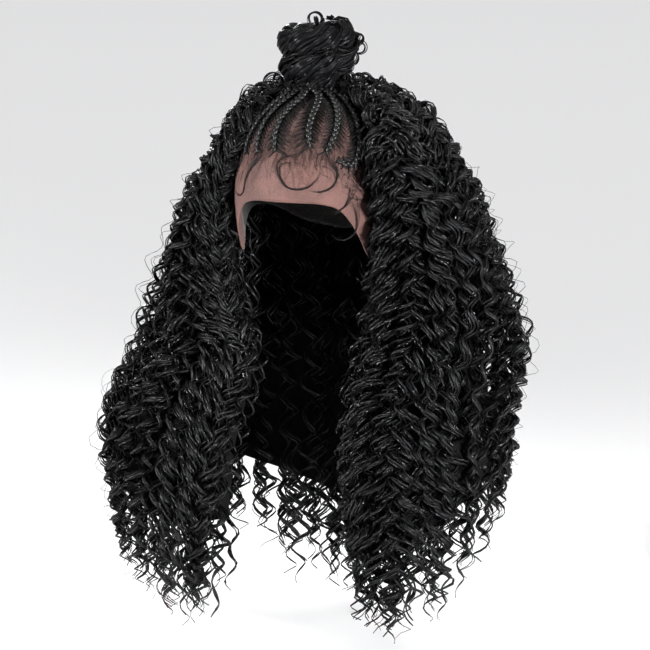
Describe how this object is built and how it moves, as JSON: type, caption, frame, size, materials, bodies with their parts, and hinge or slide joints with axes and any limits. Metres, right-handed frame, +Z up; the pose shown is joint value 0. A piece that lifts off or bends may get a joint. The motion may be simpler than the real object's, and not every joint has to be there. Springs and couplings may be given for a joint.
{
  "type": "braided lace front wig",
  "caption": "Lace front wig with braided plaits running back into a top knot and long curly hair over the shoulders, hollow for a head.",
  "frame": {"origin": "inside of the cap at the crown, on the head's upright middle line, where the wearer's head bears", "axes": "+Z up, -Y out of the face opening, +X to the wearer's left"},
  "size_m": [0.4448, 0.2739, 0.6101],
  "materials": {
    "hair": "glossy black curly strands",
    "lace": "sheer brown lace",
    "net": "dark open net"
  },
  "bodies": {
    "root": {"cap": "net", "lace_front": "lace", "braid_1": "hair", "braid_2": "hair", "braid_3": "hair", "braid_4": "hair", "braid_5": "hair", "braid_6": "hair", "bun": "hair", "hair_left": "hair", "hair_right": "hair", "hair_back": "hair"}
  },
  "joints": []
}
